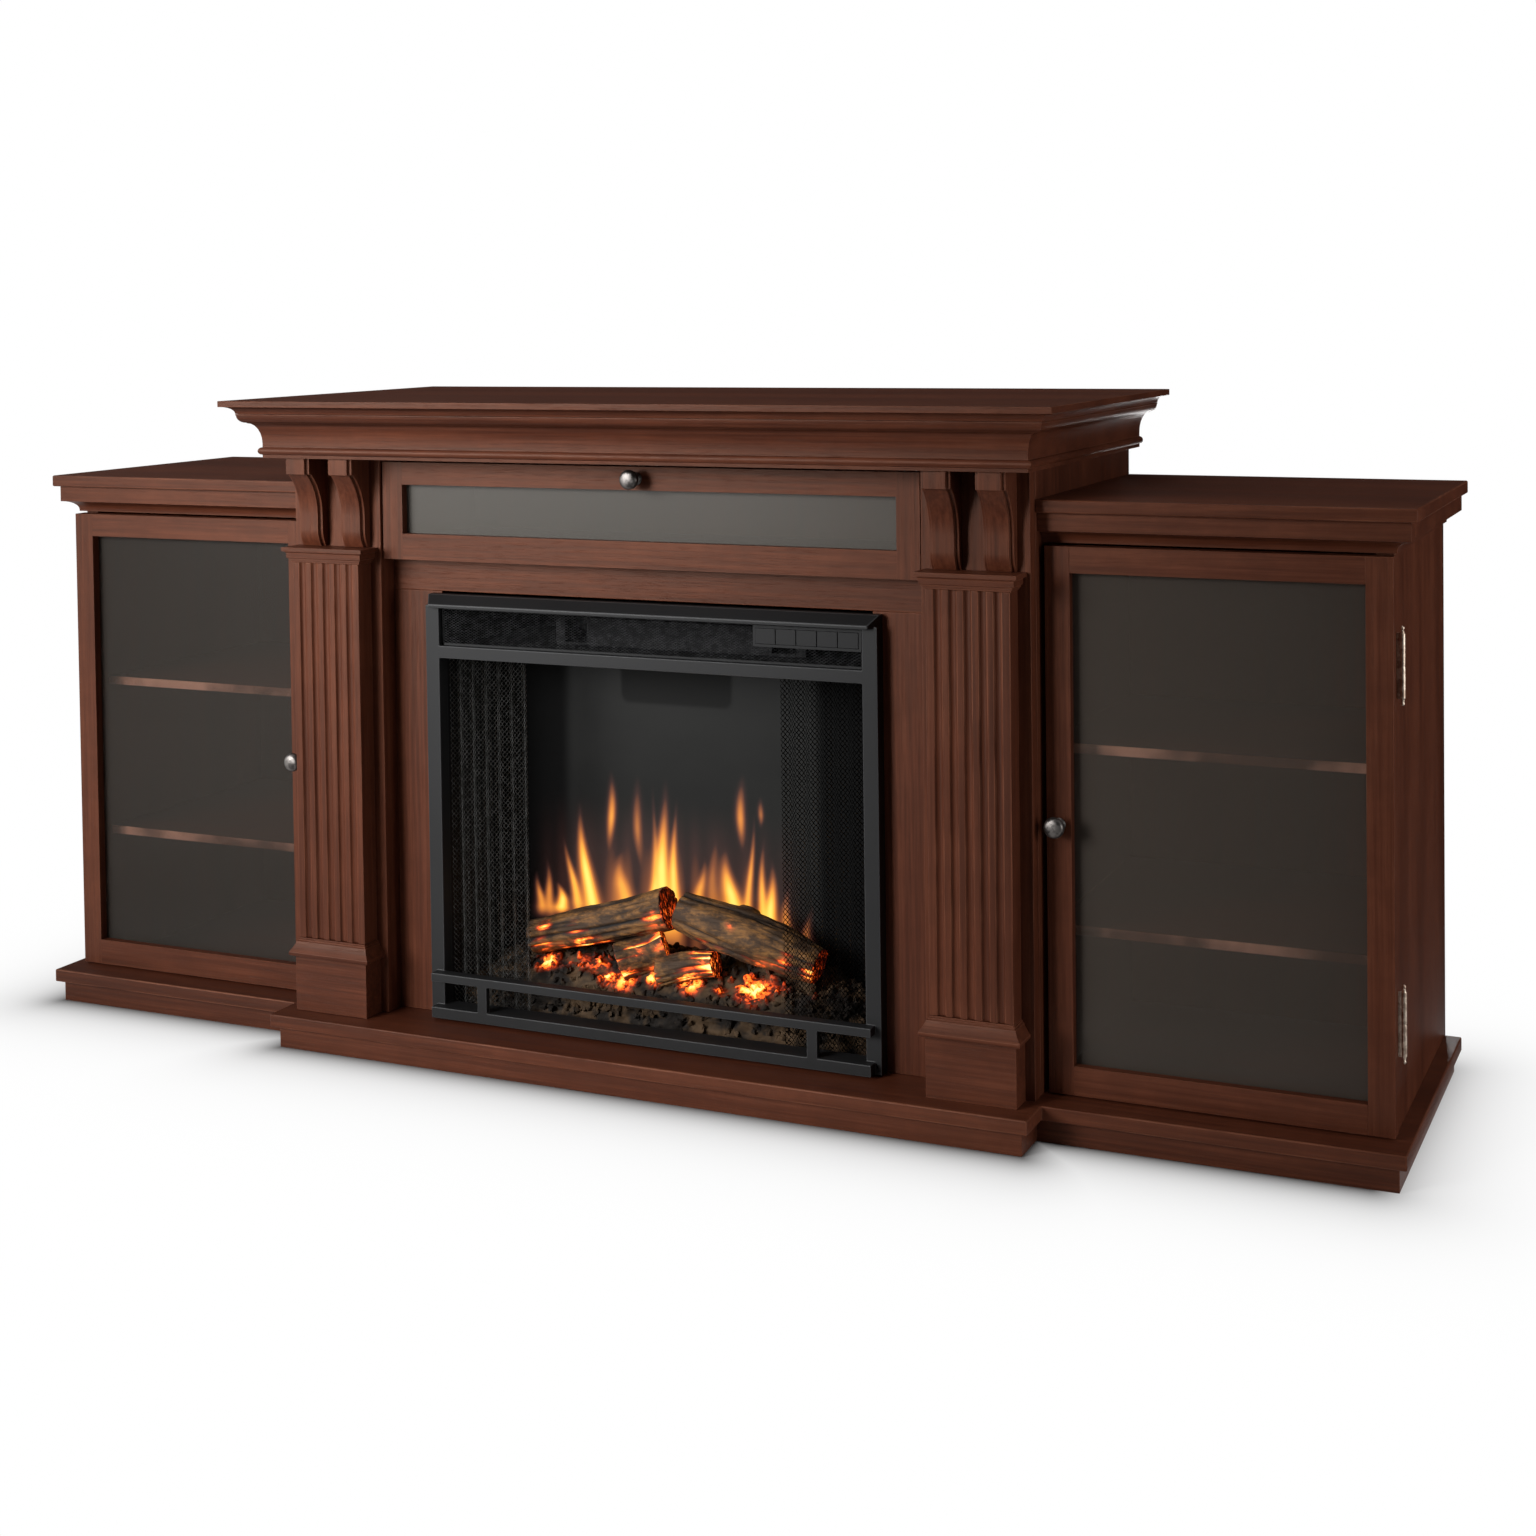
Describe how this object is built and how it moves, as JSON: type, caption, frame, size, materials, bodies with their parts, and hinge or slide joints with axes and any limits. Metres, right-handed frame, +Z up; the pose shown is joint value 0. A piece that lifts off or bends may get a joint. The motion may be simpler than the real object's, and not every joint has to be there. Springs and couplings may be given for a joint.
{
  "type": "fireplace media console",
  "caption": "Wide dark wood media console: a taller centre with an electric firebox and drop-front bay between two glazed cabinets, on a stepped plinth.",
  "frame": {"origin": "on the floor under the middle of the overall box", "axes": "+X to the right as seen from the room, +Y from the room to the wall, +Z up"},
  "size_m": [1.7018, 0.466, 0.773],
  "materials": {
    "dark_wood": "dark walnut stain under a satin varnish",
    "smoked_glass": "smoked clear glass, polished",
    "pewter": "aged pewter",
    "antique_brass": "antiqued, satin",
    "black_metal": "satin charcoal paint",
    "grille_metal": "satin black paint",
    "curtain_mesh": "black ring mesh",
    "black_plastic": "fine grained",
    "charred_resin": "moulded resin painted as charred wood and embers",
    "flame_screen": "dark diffusing screen",
    "bright_metal": "bright rolled sheet"
  },
  "bodies": {
    "console": {"back_panel": "dark_wood", "base_board": "dark_wood", "cabinet_apron_left": "dark_wood", "cabinet_apron_right": "dark_wood", "cabinet_side_left": "dark_wood", "cabinet_side_right": "dark_wood", "cabinet_top_left": "dark_wood", "cabinet_top_right": "dark_wood", "centre_side_left": "dark_wood", "centre_side_right": "dark_wood", "centre_top": "dark_wood", "crown_and_header": "dark_wood", "firebox_front": "black_metal", "firebox_shell": "black_metal", "flame_screen": "flame_screen", "flicker_motor": "black_plastic", "front_post_left": "dark_wood", "front_post_right": "dark_wood", "heater_unit": "black_metal", "inner_corbel_left": "dark_wood", "inner_corbel_right": "dark_wood", "log_and_ember_set": "charred_resin", "lower_hinge_left": "antique_brass", "lower_hinge_right": "antique_brass", "lower_shelf_left": "dark_wood", "lower_shelf_right": "dark_wood", "media_shelf": "dark_wood", "mesh_curtain_left": "curtain_mesh", "mesh_curtain_right": "curtain_mesh", "outer_corbel_left": "dark_wood", "outer_corbel_right": "dark_wood", "pilaster_cap_left": "dark_wood", "pilaster_cap_right": "dark_wood", "pilaster_foot_left": "dark_wood", "pilaster_foot_right": "dark_wood", "pilaster_shaft_left": "dark_wood", "pilaster_shaft_right": "dark_wood", "plinth": "dark_wood", "surround_frame": "dark_wood", "upper_hinge_left": "antique_brass", "upper_hinge_right": "antique_brass", "upper_shelf_left": "dark_wood", "upper_shelf_right": "dark_wood", "vent_grille": "grille_metal"},
    "left_door": {"door_frame_left": "dark_wood", "door_glass_left": "smoked_glass", "door_knob_left": "pewter"},
    "right_door": {"door_frame_right": "dark_wood", "door_glass_right": "smoked_glass", "door_knob_right": "pewter"},
    "flap": {"flap_frame": "dark_wood", "flap_glass": "smoked_glass", "flap_knob": "pewter"},
    "flicker": {"flicker_spindle": "bright_metal"},
    "blower": {"blower_wheel": "bright_metal"},
    "button_1": {"control_button_1": "black_plastic"},
    "button_2": {"control_button_2": "black_plastic"},
    "button_3": {"control_button_3": "black_plastic"},
    "button_4": {"control_button_4": "black_plastic"},
    "button_5": {"control_button_5": "black_plastic"}
  },
  "joints": [
    {"name": "left_door_hinge", "type": "hinge", "parent": "console", "child": "left_door", "pos_m": [-0.8312, -0.1031, 0.3325], "axis": [0, 0, -1], "range_deg": [0, 180]},
    {"name": "right_door_hinge", "type": "hinge", "parent": "console", "child": "right_door", "pos_m": [0.8312, -0.1031, 0.3325], "axis": [0, 0, 1], "range_deg": [0, 180]},
    {"name": "flap_hinge", "type": "hinge", "parent": "console", "child": "flap", "pos_m": [0, -0.135, 0.59], "axis": [1, 0, 0], "range_deg": [0, 90]},
    {"name": "button_1_press", "type": "slide", "parent": "console", "child": "button_1", "axis": [0, 1, 0], "range_m": [0, 0.0015], "stiffness_N_per_m": 300, "springref_m": -0.0005},
    {"name": "button_2_press", "type": "slide", "parent": "console", "child": "button_2", "axis": [0, 1, 0], "range_m": [0, 0.0015], "stiffness_N_per_m": 300, "springref_m": -0.0005},
    {"name": "button_3_press", "type": "slide", "parent": "console", "child": "button_3", "axis": [0, 1, 0], "range_m": [0, 0.0015], "stiffness_N_per_m": 300, "springref_m": -0.0005},
    {"name": "button_4_press", "type": "slide", "parent": "console", "child": "button_4", "axis": [0, 1, 0], "range_m": [0, 0.0015], "stiffness_N_per_m": 300, "springref_m": -0.0005},
    {"name": "button_5_press", "type": "slide", "parent": "console", "child": "button_5", "axis": [0, 1, 0], "range_m": [0, 0.0015], "stiffness_N_per_m": 300, "springref_m": -0.0005},
    {"name": "flicker_spin", "type": "hinge", "parent": "console", "child": "flicker", "pos_m": [0, 0.043, 0.12], "axis": [1, 0, 0], "continuous": true},
    {"name": "blower_spin", "type": "hinge", "parent": "console", "child": "blower", "pos_m": [0, -0.002, 0.5051], "axis": [1, 0, 0], "continuous": true}
  ]
}
